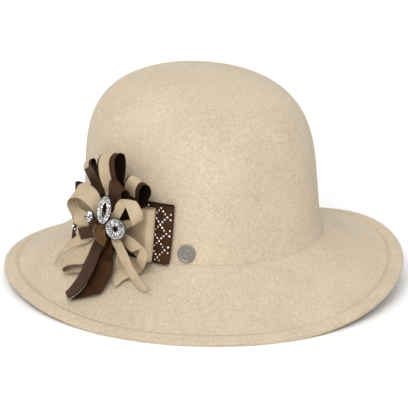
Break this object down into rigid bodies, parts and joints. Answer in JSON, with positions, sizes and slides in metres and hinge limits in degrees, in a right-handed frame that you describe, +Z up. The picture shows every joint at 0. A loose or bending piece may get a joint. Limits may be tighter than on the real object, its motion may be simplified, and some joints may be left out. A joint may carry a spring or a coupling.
{
  "type": "wool felt hat with ribbon cockade",
  "caption": "Beige wool felt hat with a round crown, a sloping brim with a stitched hem, and a brown and beige ribbon cockade with rhinestone rings at its side.",
  "frame": {"origin": "middle of the hat's outline seen from above, on the surface that the brim rests on", "axes": "+Z up through the crown, -Y the way the wearer's face looks, -X the wearer's right, where the cockade is"},
  "size_m": [0.3026, 0.3206, 0.1653],
  "materials": {
    "felt": "matt wool felt",
    "beige": "matt woven ribbon",
    "brown": "satin ribbon",
    "stone": "clear cut rhinestones, foiled",
    "badge": "dull metal"
  },
  "bodies": {
    "root": {"crown": "felt", "brim": "felt", "studded_band": "brown", "top_loop": "brown", "left_loop": "brown", "right_loop": "brown", "small_loop": "brown", "brown_tail_left": "brown", "brown_tail_right": "brown", "knot": "brown", "knot_end_side": "brown", "knot_end_top": "brown", "wide_bow": "beige", "top_loop_facing": "beige", "left_loop_facing": "beige", "right_loop_facing": "beige", "upper_left_loop": "beige", "upper_right_loop": "beige", "lower_left_loop": "beige", "lower_right_loop": "beige", "beige_tail_left": "beige", "beige_tail_right": "beige", "oval_ring": "stone", "round_ring": "stone", "small_ring": "stone", "badge": "badge"}
  },
  "joints": []
}
